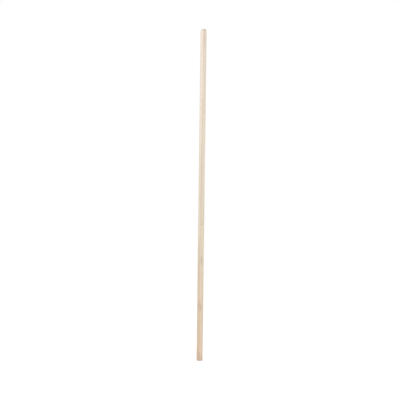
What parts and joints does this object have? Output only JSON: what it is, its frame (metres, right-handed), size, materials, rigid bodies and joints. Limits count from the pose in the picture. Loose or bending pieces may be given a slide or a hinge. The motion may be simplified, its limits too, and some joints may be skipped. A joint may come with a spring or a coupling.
{
  "type": "roller extension pole",
  "caption": "Straight round pole turned from pale wood, with a square-cut lower end and a rounded upper end, for reaching walls and ceilings with a paint roller.",
  "frame": {"origin": "centre of the pole's square-cut lower end face", "axes": "+Z along the pole's axis, from the square-cut end up to the rounded end; +X and +Y are any two directions across it, since the pole is round"},
  "size_m": [0.028, 0.028, 1.5],
  "materials": {
    "wood": "matte"
  },
  "bodies": {
    "root": {"pole": "wood"}
  },
  "joints": []
}
